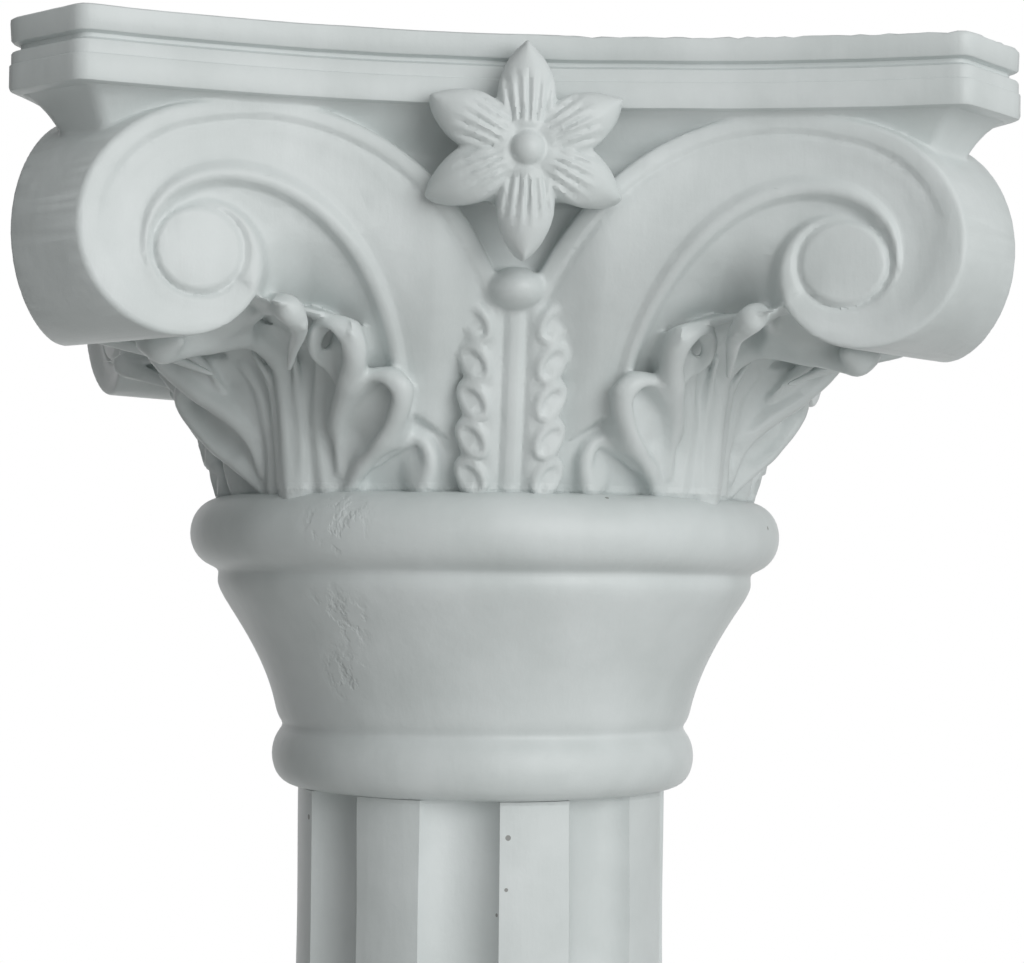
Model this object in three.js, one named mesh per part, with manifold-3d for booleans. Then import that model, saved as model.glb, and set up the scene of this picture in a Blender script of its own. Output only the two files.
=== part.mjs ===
// A plaster column pedestal: a fluted shaft between a moulded base and a four-sided Composite capital.
// Millimetres, +Z up, the front faces -Y, and the origin is the middle of the underside of the plinth.
import * as THREE from 'three';
import { mergeVertices } from 'three/addons/utils/BufferGeometryUtils.js';
import Module from 'manifold-3d';

const wasm = await Module();
wasm.setup();

// Bed joint of plaster between two castings
const BED_JOINT = 0.3;

// Base
const PLINTH_WIDTH = 270;
const PLINTH_HEIGHT = 38;
const BASE_TORUS_RADIUS = 130;
const BASE_TORUS_HEIGHT = 28;
const BASE_FILLET_HEIGHT = 5;
const BASE_SCOTIA_RADIUS = 88;
const BASE_SCOTIA_HEIGHT = 16;
const BASE_UPPER_TORUS_RADIUS = 97;
const BASE_UPPER_TORUS_HEIGHT = 17;
const BASE_CROWN_HEIGHT = 6;

// Shaft
const SHAFT_RADIUS = 70.5;
const SHAFT_LENGTH = 545;
const FLUTE_COUNT = 8;
const FLUTE_DEPTH = 7;
const FILLET_WIDTH = 26;
const FLUTE_TURN = 11.3;

// Neck of the capital, heights above its bed
const LOWER_TORUS_RADIUS = 80.9;
const LOWER_TORUS_HEIGHT = 24.1;
const CAVETTO_RADIUS = 101.6;
const CAVETTO_HEIGHT = 49.7;
const RING_RADIUS = 103;
const RING_HEIGHT = 8;
const UPPER_TORUS_RADIUS = 113.3;
const UPPER_TORUS_HEIGHT = 27.7;

// Bell of the capital
const BELL_FOOT_RADIUS = 93.5;
const BELL_TOP_INSET = 12;
const BELL_HEIGHT = 125;
const BELL_SQUARING_START = 45;
const BELL_SQUARING_END = 88;

// Abacus
const ABACUS_WIDTH = 336;
const ABACUS_CORNER_WIDTH = 37.5;
const ABACUS_HOLLOW = 25;
const ABACUS_LOWER_FASCIA = 13.7;
const ABACUS_GROOVE = 2.6;
const ABACUS_GROOVE_DEPTH = 3;
const ABACUS_UPPER_FASCIA = 8.2;

// Volutes, heights above the foot of the bell
const EYE_INSET = 36.3;
const EYE_HEIGHT = 74.5;
const EYE_RADIUS = 14;
const VOLUTE_TOP_RADIUS = 48.3;
const VOLUTE_WINDING = 0.1767;
const VOLUTE_INSET = 4;
const VOLUTE_CORNER_REACH = 27;
const VOLUTE_DEPTH = 17;
const RIM_WIDTH = 7.6;
const RIM_RISE = 1.4;
const RIDGE_WIDTH = 8.6;
const RECESS_SPREAD = 60.4;
const SCROLL_RELIEF = 1.2;
const BAND_PROUD = 5;
const BAND_RECESS = 11;
const COLLAR_HEIGHT = 26;
const COLLAR_INSET = 16;
const COLLAR_LAP = 1;

// Flowers, strap leaves and corner leaves
const FLOWER_HEIGHT = 109;
const FLOWER_RADIUS = 35;
const PETAL_COUNT = 6;
const FLOWER_NOTCH = 16;
const FLOWER_DEPTH = 40;
const FLOWER_PROUD = 14;
const BUTTON_RADIUS = 5.2;
const KNOB_HEIGHT = 68;
const KNOB_WIDTH = 19.2;
const KNOB_THICKNESS = 13.6;
const KNOB_PROUD = 11;
const STRAP_WIDTH = 36;
const STRAP_HEIGHT = 62;
const STRAP_LOBES = 5;
const STRAP_THICKNESS = 13;
const STRAP_PROUD = 6.5;
const STRAP_LEAN = 20;
const LEAF_HEIGHT = 62;
const LEAF_TIP_INSET = 51;
const LEAF_TIP_WIDTH = 28;
const LEAF_TIP_THICKNESS = 9;
const LEAF_TIP_REACH = 22;

const TURNED_SEGMENTS = 24;

const degrees = THREE.MathUtils.degToRad;
const mix = THREE.MathUtils.lerp;
const ease = THREE.MathUtils.smoothstep;

const neckHeight = LOWER_TORUS_HEIGHT + CAVETTO_HEIGHT + RING_HEIGHT + UPPER_TORUS_HEIGHT;
const abacusBottom = neckHeight + BELL_HEIGHT;
const abacusMiddle = ABACUS_WIDTH / 2 - ABACUS_HOLLOW;
const abacusHeight = ABACUS_LOWER_FASCIA + ABACUS_GROOVE + ABACUS_UPPER_FASCIA;
const baseHeight =
  PLINTH_HEIGHT + BASE_TORUS_HEIGHT + BASE_FILLET_HEIGHT + BASE_SCOTIA_HEIGHT +
  BASE_UPPER_TORUS_HEIGHT + BASE_CROWN_HEIGHT;

// Solids: a closed three.js geometry, welded and facing out, as a body that can be joined

function solid(source) {
  const bare = source.index ? source.toNonIndexed() : source.clone();
  for (const name of Object.keys(bare.attributes)) {
    if (name !== 'position') bare.deleteAttribute(name);
  }
  const welded = mergeVertices(bare, 1e-4);
  const { array } = welded.attributes.position;
  const corner = (i) => new THREE.Vector3().fromArray(array, 3 * i);
  const faces = [];
  let volume = 0;
  for (let i = 0; i < welded.index.count; i += 3) {
    const [a, b, c] = [0, 1, 2].map((k) => welded.index.getX(i + k));
    if (a === b || b === c || c === a) continue;
    faces.push([a, b, c]);
    volume += corner(a).dot(corner(b).cross(corner(c)));
  }
  const triVerts = Uint32Array.from(faces.flatMap(([a, b, c]) => (volume > 0 ? [a, b, c] : [a, c, b])));
  const vertProperties = Float32Array.from(array);
  return new wasm.Manifold(new wasm.Mesh({ numProp: 3, vertProperties, triVerts }));
}

const join = (bodies) => bodies.reduce((whole, body) => whole.add(body));

function geometryOf(body) {
  const { vertProperties, triVerts } = body.getMesh();
  const geometry = new THREE.BufferGeometry();
  geometry.setAttribute('position', new THREE.BufferAttribute(vertProperties, 3));
  geometry.setIndex(new THREE.BufferAttribute(triVerts, 1));
  geometry.computeVertexNormals();
  return geometry;
}

// A closed skin through a row of rings: a cylinder whose points are moved to place(step, k).
// The two ends close on the middle of their ring, or on heart(step).
function skin(sides, steps, place, heart) {
  const geometry = new THREE.CylinderGeometry(1, 1, 1, sides, steps);
  const { position } = geometry.attributes;
  const middle = (step) => {
    const sum = new THREE.Vector3();
    for (let k = 0; k < sides; k += 1) sum.add(place(step, k));
    return sum.divideScalar(sides);
  };
  for (let i = 0; i < position.count; i += 1) {
    const step = Math.round((0.5 - position.getY(i)) * steps);
    const across = Math.hypot(position.getX(i), position.getZ(i));
    const turn = Math.atan2(position.getX(i), position.getZ(i)) / (2 * Math.PI);
    const k = (Math.round(turn * sides) + sides) % sides;
    const point = across > 0.5 ? place(step, k) : (heart ?? middle)(step);
    position.setXYZ(i, point.x, point.y, point.z);
  }
  return geometry;
}

// Copies: a corner's carving is mirrored over its diagonal, and all four sides are alike

const overDiagonal = new THREE.Matrix4().makeBasis(
  new THREE.Vector3(0, -1, 0), new THREE.Vector3(-1, 0, 0), new THREE.Vector3(0, 0, 1));
const moved = (geometry, matrix) => geometry.clone().applyMatrix4(matrix);
const withMirror = (geometry, mirror) => [geometry, moved(geometry, mirror)];

function aroundFourSides(geometries) {
  const copies = [];
  for (let side = 0; side < 4; side += 1) {
    const turn = new THREE.Matrix4().makeRotationZ(side * Math.PI / 2);
    for (const geometry of geometries) copies.push(moved(geometry, turn));
  }
  return copies;
}

const before = (x, forward, z) => new THREE.Vector3(x, -forward, z);

// Profiles of turned mouldings, as [radius, height] points

function torusProfile(bottom, height, radius, footRadius, topRadius, steps) {
  const points = [];
  for (let i = 0; i <= steps; i += 1) {
    const t = i / steps;
    const bulge = Math.sqrt(Math.max(0, 1 - (2 * t - 1) ** 2));
    points.push([mix(mix(footRadius, topRadius, t), radius, bulge), bottom + height * t]);
  }
  return points;
}

function cavettoProfile(bottom, height, footRadius, topRadius, steps) {
  const points = [];
  for (let i = 1; i < steps; i += 1) {
    const t = i / steps;
    points.push([mix(footRadius, topRadius, t ** 1.55), bottom + height * t]);
  }
  return points;
}

function turned(profile, segments) {
  const height = profile.at(-1)[1];
  const outline = [[0, profile[0][1]], ...profile, [0, height]];
  const points = outline.map(([radius, z]) => new THREE.Vector2(radius, z));
  return new THREE.LatheGeometry(points, segments).rotateX(Math.PI / 2);
}

// Bell: round at its foot, squared towards the corners under the abacus

const bellRadius = (z) => {
  const t = Math.max(0, (z - neckHeight) / BELL_HEIGHT);
  return mix(BELL_FOOT_RADIUS, abacusMiddle - BELL_TOP_INSET, t ** 0.85);
};
const bellSquaring = (z) => ease(z - neckHeight, BELL_SQUARING_START, BELL_SQUARING_END);

const cornerReach = ABACUS_WIDTH / Math.SQRT2 - ABACUS_CORNER_WIDTH / 2;
const arrisX = (cornerReach - ABACUS_CORNER_WIDTH / 2) / Math.SQRT2;
const hollowRadius = (arrisX ** 2 + ABACUS_HOLLOW ** 2) / (2 * ABACUS_HOLLOW);
const hollowRise = (x) => hollowRadius - Math.sqrt(hollowRadius ** 2 - x ** 2);

function squaredRadius(middle, azimuth) {
  const quarter = Math.PI / 2;
  const off = azimuth - Math.round(azimuth / quarter) * quarter;
  let radius = middle / Math.cos(off);
  for (let i = 0; i < 4; i += 1) radius = (middle + hollowRise(radius * Math.sin(off))) / Math.cos(off);
  return Math.min(radius, 1.42 * middle / Math.cos(Math.PI / 4 - Math.abs(off)));
}

function bellFront(x, z) {
  const radius = bellRadius(z);
  const round = Math.sqrt(Math.max(1, radius ** 2 - x ** 2));
  return mix(round, radius + hollowRise(x), bellSquaring(z));
}

function coreGeometry() {
  const cavettoBottom = LOWER_TORUS_HEIGHT;
  const ringBottom = cavettoBottom + CAVETTO_HEIGHT;
  const upperBottom = ringBottom + RING_HEIGHT;
  const creaseRadius = LOWER_TORUS_RADIUS - 2.2;
  const profile = [
    ...torusProfile(0, LOWER_TORUS_HEIGHT, LOWER_TORUS_RADIUS, SHAFT_RADIUS + 0.8, creaseRadius, 4),
    ...cavettoProfile(cavettoBottom, CAVETTO_HEIGHT, creaseRadius, CAVETTO_RADIUS, 3),
    [CAVETTO_RADIUS, ringBottom],
    [RING_RADIUS, ringBottom + RING_HEIGHT / 2],
    ...torusProfile(upperBottom, UPPER_TORUS_HEIGHT, UPPER_TORUS_RADIUS, RING_RADIUS - 0.8,
      RING_RADIUS + 1, 4),
  ];
  const bellSteps = 3;
  for (let i = 0; i <= bellSteps; i += 1) {
    const z = neckHeight + (BELL_HEIGHT + ABACUS_LOWER_FASCIA / 2) * i / bellSteps;
    profile.push([bellRadius(z), z]);
  }
  const geometry = turned(profile, TURNED_SEGMENTS);
  const { position } = geometry.attributes;
  for (let i = 0; i < position.count; i += 1) {
    const [x, y, z] = [position.getX(i), position.getY(i), position.getZ(i)];
    const radius = Math.hypot(x, y);
    if (radius < 1 || z <= neckHeight) continue;
    const squared = squaredRadius(radius, Math.atan2(x, -y));
    const scale = mix(1, squared / radius, bellSquaring(z));
    position.setXY(i, x * scale, y * scale);
  }
  return geometry;
}

// Abacus: four hollow sides and cut corners, with a groove between two fasciae

function abacusShape(inset) {
  const reach = cornerReach - inset;
  const front = (x) => abacusMiddle - inset + hollowRise(x);
  let edge = arrisX;
  for (let i = 0; i < 8; i += 1) edge = Math.SQRT2 * reach - front(edge);
  const shape = new THREE.Shape();
  const steps = 6;
  for (let side = 0; side < 4; side += 1) {
    for (let i = 0; i <= steps; i += 1) {
      const x = mix(-edge, edge, i / steps);
      const point = new THREE.Vector2(x, -front(x));
      point.rotateAround(new THREE.Vector2(), side * Math.PI / 2);
      if (side + i === 0) shape.moveTo(point.x, point.y);
      else shape.lineTo(point.x, point.y);
    }
  }
  return shape;
}

function plate(inset, bottom, height) {
  const geometry = new THREE.ExtrudeGeometry(abacusShape(inset), { depth: height, bevelEnabled: false });
  return geometry.translate(0, 0, bottom);
}

function abacusGeometries() {
  const grooveBottom = abacusBottom + ABACUS_LOWER_FASCIA;
  return [
    plate(0, abacusBottom, ABACUS_LOWER_FASCIA),
    plate(ABACUS_GROOVE_DEPTH, abacusBottom + 1, abacusHeight - 2),
    plate(0.5, grooveBottom + ABACUS_GROOVE, ABACUS_UPPER_FASCIA),
  ];
}

// Volutes: polar about the eye, the angle in degrees from the side's middle line, rising over the top

const eyeX = arrisX - EYE_INSET;
const eyeZ = neckHeight + EYE_HEIGHT;
const voluteMiddle = abacusMiddle - VOLUTE_INSET;
const outerRadius = (angle) => {
  const lead = Math.max(0, 90 - angle);
  const winding = Math.exp(-VOLUTE_WINDING * degrees(Math.max(0, angle - 90)));
  return VOLUTE_TOP_RADIUS * (winding + 0.00412 * lead + 0.0000783 * lead ** 2);
};
const innerRadius = (angle) => 0.93 * EYE_RADIUS + RECESS_SPREAD * Math.exp(-(angle + 29.6) / 57);
const ridgeWidth = (angle) => RIDGE_WIDTH * mix(0.09, 1, Math.exp(-(((angle - 30) / 135) ** 2)));

const faceForward = (x) => voluteMiddle + VOLUTE_CORNER_REACH * (Math.max(0, x) / arrisX) ** 2.6;

function onVolute(angle, radius, rise) {
  const x = eyeX - radius * Math.cos(degrees(angle));
  const z = eyeZ + radius * Math.sin(degrees(angle));
  const low = 1 - ease(z, eyeZ - 1.8 * EYE_RADIUS, eyeZ + 1.6 * EYE_RADIUS);
  const sunk = low * (1 - ease(angle, 12, 45));
  const forward = mix(faceForward(x), bellFront(x, z) + BAND_PROUD, sunk);
  return before(x, forward + rise, z);
}

const BAND_START = -34;
const SCROLL_START = 74;

// Section of a face from the scroll's edge outward, as [radius, rise] points
function faceSection(angle) {
  const inner = Math.max(1.07 * EYE_RADIUS, innerRadius(angle));
  const clear = 0.97 * eyeX / Math.cos(degrees(Math.min(0, angle)));
  const outer = Math.min(outerRadius(angle), clear);
  const ridge = inner + Math.min(ridgeWidth(angle), 0.45 * (outer - inner));
  const rim = outer - Math.min(RIM_WIDTH, 0.45 * (outer - ridge));
  const rimRise = RIM_RISE * (1 - ease(angle, 120, 200));
  return [
    [mix(inner, ridge, 0.4), 0.7 * SCROLL_RELIEF],
    [mix(ridge, rim, 0.4), -SCROLL_RELIEF],
    [rim, -0.5 * SCROLL_RELIEF],
    [outer, rimRise],
  ];
}

// The scrolls of two neighbouring faces and the band between them
function scrollPairGeometry() {
  const sides = 15;
  const sections = [];
  for (let k = 0; k < sides; k += 1) {
    const angle = SCROLL_START + 360 * k / (sides - 1);
    const inner = Math.max(1.07 * EYE_RADIUS, innerRadius(angle));
    const eyeEdge = [[EYE_RADIUS, 0.8 * SCROLL_RELIEF], [inner, -SCROLL_RELIEF]];
    const section = [...eyeEdge, ...faceSection(angle)];
    sections.push(section.map(([radius, rise]) => onVolute(angle, radius, rise)));
  }
  const last = sections[0].length - 1;
  const place = (step, k) => {
    if (step <= last) return sections[k][step];
    return sections[k][2 * last + 1 - step].clone().applyMatrix4(overDiagonal);
  };
  const heart = (step) => {
    const eye = onVolute(180, 0, 0.8 * SCROLL_RELIEF);
    return step === 0 ? eye : eye.applyMatrix4(overDiagonal);
  };
  return skin(sides, 2 * last + 1, place, heart);
}

// The band that rises from the leaves to the scroll, with the hollow beside it
function bandGeometry() {
  const steps = 5;
  const place = (step, k) => {
    const end = step === steps ? 1 : 0;
    const angle = mix(BAND_START, SCROLL_START, step / steps) + 2 * end;
    const disc = outerRadius(angle + 360);
    const section = faceSection(angle);
    const [outer] = section.at(-1);
    const inner = innerRadius(angle);
    const open = Math.min(1, (inner - disc) / EYE_RADIUS);
    const points = [
      [0.85 * disc, -2 * BAND_RECESS],
      [disc, -BAND_RECESS * open],
      [inner, -mix(0.05, 0.45, open) * BAND_RECESS],
      ...section,
      [outer, -VOLUTE_DEPTH],
    ];
    const [radius, rise] = points[k];
    return onVolute(angle, radius - 0.5 * SCROLL_RELIEF * end, rise - 0.5 * SCROLL_RELIEF * end);
  };
  return skin(8, steps, place);
}

// The coved collar between a corner of the abacus and the scrolls under it
function collarGeometry() {
  const levels = [[0, 1], [0.65, 0.88], [0.85, 0.55], [1, 0.2]];
  const place = (step, k) => {
    const [rise, share] = levels[step];
    const inset = share * COLLAR_INSET;
    const z = abacusBottom + COLLAR_LAP - COLLAR_HEIGHT * (1 - rise);
    const front = (x) => abacusMiddle - inset + hollowRise(x);
    const corner = arrisX - 0.4 * inset;
    const half = [
      [0.37 * arrisX, 0.37 * arrisX],
      [0.37 * arrisX, front(0.37 * arrisX)],
      [0.68 * arrisX, front(0.68 * arrisX)],
      [corner, front(arrisX) - 0.1 * inset],
    ];
    const [x, forward] = half[k < 4 ? k : 7 - k];
    if (k < 4) return before(x, forward, z);
    return before(forward, x, z);
  };
  return skin(8, levels.length - 1, place);
}

// Flower on the middle of a side

function flowerGeometries() {
  const sides = 24;
  const stepAngle = 2 * Math.PI / sides;
  const perPetal = sides / PETAL_COUNT;
  const place = (step, k) => {
    const off = Math.abs(((k + perPetal / 2) % perPetal) - perPetal / 2) / (perPetal / 2);
    const angle = Math.PI / 2 + k * stepAngle;
    const outline = mix(FLOWER_RADIUS, FLOWER_NOTCH, off ** 1.6);
    const droop = 0.12 * FLOWER_RADIUS * (1 - 1.5 * Math.sin(angle));
    const [radius, forward] = [
      [BUTTON_RADIUS, 0.03 * FLOWER_RADIUS],
      [0.6 * outline, (0.06 - 0.13 * off ** 2) * FLOWER_RADIUS - 0.3 * droop],
      [outline, -(0.09 + 0.06 * off) * FLOWER_RADIUS - droop],
      [0.5 * outline, -FLOWER_DEPTH],
    ][step];
    return before(radius * Math.cos(angle), forward, radius * Math.sin(angle));
  };
  const button = new THREE.SphereGeometry(BUTTON_RADIUS, 6, 4);
  const centre = before(0, abacusMiddle + FLOWER_PROUD, neckHeight + FLOWER_HEIGHT);
  return [skin(sides, 3, place), button].map((part) => part.translate(centre.x, centre.y, centre.z));
}

// Strap leaf under the flower, with its curled tip

const strapForward = (z) => {
  const t = (z - neckHeight) / STRAP_HEIGHT;
  return BELL_FOOT_RADIUS + STRAP_PROUD + STRAP_LEAN * Math.min(1.15, t) ** 0.8;
};

function strapGeometries() {
  const ribs = [[-0.8, -1], [-1, 0.05], [-0.45, 0], [0, 0.14], [0.45, 0], [1, 0.05], [0.8, -1]];
  const perLobe = 2;
  const steps = STRAP_LOBES * perLobe;
  const body = skin(ribs.length, steps, (step, k) => {
    const t = step / steps;
    const z = neckHeight + STRAP_HEIGHT * t;
    const scallop = step % perLobe ? 1 : 0.8;
    const taper = mix(1, 0.72, ease(t, 0.7, 1));
    const [across, lift] = ribs[k];
    const lobed = Math.abs(across) > 0.5 ? scallop * taper : taper;
    return before(across * lobed * STRAP_WIDTH / 2, strapForward(z) + lift * STRAP_THICKNESS, z);
  });
  const knob = new THREE.SphereGeometry(1, 6, 5);
  knob.scale(KNOB_WIDTH / 2, KNOB_PROUD, KNOB_THICKNESS / 2);
  knob.translate(0, -(strapForward(neckHeight + STRAP_HEIGHT) + 1), neckHeight + KNOB_HEIGHT);
  return [body, knob];
}

// Corner leaf: lobes that fan out from its foot, each a hollow between two rims, with a notch between lobes.
// A route has [degrees off the diagonal, share of the leaf's height, share of the bell's foot radius]
// at its start, middle and end.

const leafRoutes = [
  [[31, -0.02, 1.05], [32.5, 0.16, 1.09], [32.5, 0.27, 1.11]],
  [[24, -0.02, 1.07], [27, 0.18, 1.07], [29.5, 0.35, 1.12]],
  [[18, -0.02, 1.1], [23, 0.18, 1.11], [26.5, 0.31, 1.12]],
  [[16.5, -0.02, 1.08], [21, 0.16, 1.07], [24.5, 0.27, 1.06]],
  [[14.5, -0.02, 1.12], [23.5, 0.34, 1.21], [30, 0.6, 1.26]],
  [[11, -0.02, 1.1], [18.5, 0.35, 1.16], [26, 0.71, 1.3]],
  [[8, -0.02, 1.13], [13.5, 0.37, 1.21], [21, 0.65, 1.29]],
  [[7, 0.02, 1.11], [12, 0.39, 1.14], [19, 0.55, 1.18]],
  [[6.5, 0.06, 1.13], [15.5, 0.58, 1.29], [23.5, 0.87, 1.42]],
  [[5.5, 0.06, 1.12], [11.5, 0.6, 1.24], [19.5, 0.97, 1.49]],
  [[4.5, 0.06, 1.14], [8, 0.63, 1.29], [15.5, 0.9, 1.49]],
  [[4, 0.13, 1.12], [6.5, 0.68, 1.23], [11.5, 0.85, 1.37]],
  [[3, 0.16, 1.13], [8, 0.77, 1.38], [17, 0.95, 1.72]],
  [[2, 0.1, 1.11], [3, 0.73, 1.21], [5, 1, 1.52]],
];
const midribRoute = [[0, -0.02, 1.13], [0, 0.68, 1.18], [0, 1, 1.52]];
const leafSteps = [0, 0.6, 1];

function along(route, t) {
  const [a, b, c] = route;
  return a.map((_, i) => (1 - t) ** 2 * a[i] + t * (1 - t) * (4 * b[i] - a[i] - c[i]) + t ** 2 * c[i]);
}

function atCorner(off, rise, radius) {
  const azimuth = degrees(45 - off);
  return before(radius * Math.sin(azimuth), radius * Math.cos(azimuth), neckHeight + rise);
}

const onLeaf = ([off, rise, radius]) => atCorner(off, rise * LEAF_HEIGHT, radius * BELL_FOOT_RADIUS);

function cornerLeafGeometries() {
  const mirrored = leafRoutes.map((route) => route.map(([off, ...rest]) => [-off, ...rest]));
  const routes = [...leafRoutes, midribRoute, ...mirrored.reverse()];
  const back = [-24, 24];
  const leaf = skin(routes.length + back.length, leafSteps.length - 1, (step, k) => {
    const t = leafSteps[step];
    if (k < routes.length) return onLeaf(along(routes[k], t));
    return onLeaf([back[k - routes.length], mix(-0.02, 0.2, t), 0.86]);
  }, (step) => onLeaf([0, mix(-0.02, 0.5, step / (leafSteps.length - 1)), 0.9]));
  const inward = -LEAF_TIP_REACH / LEAF_TIP_THICKNESS;
  const tip = [[inward, 0.2], [0.35, -0.05], [0.8, 0.15], [1, 0.6], [0.8, 1], [inward, 1.4]];
  const tipSteps = 3;
  const tipRadius = cornerReach - LEAF_TIP_INSET;
  const curl = skin(tip.length, tipSteps, (step, k) => {
    const t = 2 * step / tipSteps - 1;
    const full = Math.sqrt(1 - (0.92 * t) ** 2);
    const [out, up] = tip[k];
    const radius = tipRadius + mix(0.3, out, full) * LEAF_TIP_THICKNESS;
    const rise = 0.7 * LEAF_HEIGHT + mix(0.5, up, full) * LEAF_TIP_THICKNESS;
    return atCorner(THREE.MathUtils.radToDeg(t * LEAF_TIP_WIDTH / 2 / radius), rise, radius);
  });
  return [leaf, curl];
}

function capitalBody() {
  const corner = [
    scrollPairGeometry(),
    ...withMirror(bandGeometry(), overDiagonal),
    collarGeometry(),
    ...cornerLeafGeometries(),
  ];
  const side = [...flowerGeometries(), ...strapGeometries()];
  const geometries = [coreGeometry(), ...abacusGeometries(), ...aroundFourSides([...corner, ...side])];
  const shells = join(geometries.map(solid)).decompose();
  return join(shells.filter((shell) => shell.volume() > 0));
}

// Shaft: flat fillets between hollow flutes, the same from end to end

function shaftGeometry() {
  const shape = new THREE.Shape();
  const pitch = 2 * Math.PI / FLUTE_COUNT;
  const halfFillet = Math.asin(FILLET_WIDTH / 2 / SHAFT_RADIUS);
  const steps = 6;
  const halfFlute = SHAFT_RADIUS * Math.sin(pitch / 2 - halfFillet);
  const fluteRadius = (halfFlute ** 2 + FLUTE_DEPTH ** 2) / (2 * FLUTE_DEPTH);
  const chordDistance = SHAFT_RADIUS * Math.cos(pitch / 2 - halfFillet);
  const spread = Math.asin(halfFlute / fluteRadius);
  for (let i = 0; i < FLUTE_COUNT; i += 1) {
    const middle = degrees(FLUTE_TURN - 90) + pitch * (i + 0.5);
    const centre = chordDistance - FLUTE_DEPTH + fluteRadius;
    for (let j = 0; j <= steps; j += 1) {
      const turn = mix(-spread, spread, j / steps);
      const point = new THREE.Vector2(centre - fluteRadius * Math.cos(turn), fluteRadius * Math.sin(turn));
      point.rotateAround(new THREE.Vector2(), middle);
      if (i + j === 0) shape.moveTo(point.x, point.y);
      else shape.lineTo(point.x, point.y);
    }
  }
  return new THREE.ExtrudeGeometry(shape, { depth: SHAFT_LENGTH, bevelEnabled: false });
}

// Base: a square plinth under turned mouldings

function baseBody() {
  const plinth = new THREE.BoxGeometry(PLINTH_WIDTH, PLINTH_WIDTH, PLINTH_HEIGHT);
  plinth.translate(0, 0, PLINTH_HEIGHT / 2);
  const filletBottom = PLINTH_HEIGHT + BASE_TORUS_HEIGHT;
  const scotiaBottom = filletBottom + BASE_FILLET_HEIGHT;
  const upperBottom = scotiaBottom + BASE_SCOTIA_HEIGHT;
  const crownBottom = upperBottom + BASE_UPPER_TORUS_HEIGHT;
  const filletRadius = mix(BASE_SCOTIA_RADIUS, BASE_TORUS_RADIUS, 0.6);
  const crownRadius = SHAFT_RADIUS + 6;
  const profile = [
    [BASE_TORUS_RADIUS - 10, PLINTH_HEIGHT - 2],
    ...torusProfile(PLINTH_HEIGHT, BASE_TORUS_HEIGHT, BASE_TORUS_RADIUS, BASE_TORUS_RADIUS - 9,
      filletRadius + 2, 4),
    [filletRadius, filletBottom + 0.5],
    [filletRadius, scotiaBottom],
  ];
  for (let i = 1; i < 4; i += 1) {
    const turn = Math.PI / 2 * i / 4;
    const radius = mix(filletRadius, BASE_SCOTIA_RADIUS, Math.sin(turn));
    profile.push([radius, scotiaBottom + BASE_SCOTIA_HEIGHT * (1 - Math.cos(turn))]);
  }
  profile.push(
    ...torusProfile(upperBottom, BASE_UPPER_TORUS_HEIGHT, BASE_UPPER_TORUS_RADIUS, BASE_SCOTIA_RADIUS,
      crownRadius + 3, 4),
    [crownRadius, crownBottom + 0.5],
    [crownRadius, baseHeight],
  );
  return join([solid(plinth), solid(turned(profile, TURNED_SEGMENTS))]);
}

const plaster = new THREE.MeshStandardMaterial({ color: 0xd2d6d4, roughness: 0.55, metalness: 0 });

function piece(name, body, z) {
  const mesh = new THREE.Mesh(geometryOf(body), plaster.clone());
  mesh.name = name;
  mesh.position.z = z;
  return mesh;
}

const shaftBottom = baseHeight + BED_JOINT;
const capitalBottom = shaftBottom + SHAFT_LENGTH + BED_JOINT;

const pedestal = new THREE.Group();
pedestal.add(
  piece('base', baseBody(), 0),
  piece('shaft', solid(shaftGeometry()), shaftBottom),
  piece('capital', capitalBody(), capitalBottom),
);

export default pedestal;
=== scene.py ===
"""Column pedestal: finely carved capital, fluted shaft and base in painted plaster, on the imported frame."""
import math

import bpy
import numpy as np
import openvdb
from mathutils import Matrix, Vector


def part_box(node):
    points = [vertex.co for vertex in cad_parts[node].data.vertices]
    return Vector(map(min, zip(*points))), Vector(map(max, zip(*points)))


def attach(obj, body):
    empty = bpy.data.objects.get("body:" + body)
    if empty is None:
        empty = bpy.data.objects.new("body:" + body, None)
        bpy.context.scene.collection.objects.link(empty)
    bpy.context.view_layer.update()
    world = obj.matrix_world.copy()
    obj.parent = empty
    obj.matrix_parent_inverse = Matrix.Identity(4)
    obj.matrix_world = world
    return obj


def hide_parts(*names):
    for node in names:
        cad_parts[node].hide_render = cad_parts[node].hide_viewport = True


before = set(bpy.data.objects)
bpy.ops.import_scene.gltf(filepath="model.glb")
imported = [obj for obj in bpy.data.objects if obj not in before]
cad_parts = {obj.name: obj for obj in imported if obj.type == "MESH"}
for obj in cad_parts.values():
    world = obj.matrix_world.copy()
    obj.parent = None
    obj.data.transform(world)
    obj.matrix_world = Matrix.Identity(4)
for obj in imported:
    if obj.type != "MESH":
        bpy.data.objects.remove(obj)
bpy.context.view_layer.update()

# Sizes in millimetres; heights of the capital count from its bed
CAPITAL_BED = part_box("capital")[0][2] * 1000
SHAFT_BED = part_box("shaft")[0][2] * 1000
SHAFT_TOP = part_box("shaft")[1][2] * 1000
NECK = 109.5
ABACUS_BED = 234.5
ABACUS_MIDDLE = 143.0
CORNER_REACH = 218.8
ARRIS = 141.5
HOLLOW_RADIUS = 413.0
EYE_X = 105.2
EYE_Z = NECK + 74.5
EYE_RADIUS = 14.0
VOXEL = 0.8
CARVING_TRIANGLES = 146000


def smooth(t, low, high):
    t = np.clip((t - low) / (high - low), 0, 1)
    return t * t * (3 - 2 * t)


def mix(a, b, t):
    return a + (b - a) * t


def soft_min(a, b, k):
    h = np.maximum(k - np.abs(a - b), 0) / k
    return np.minimum(a, b) - h * h * k / 4


def soft_max(a, b, k):
    return -soft_min(-a, -b, k)


def hollow_rise(x):
    return HOLLOW_RADIUS - np.sqrt(HOLLOW_RADIUS ** 2 - np.minimum(x, 200) ** 2)


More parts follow.
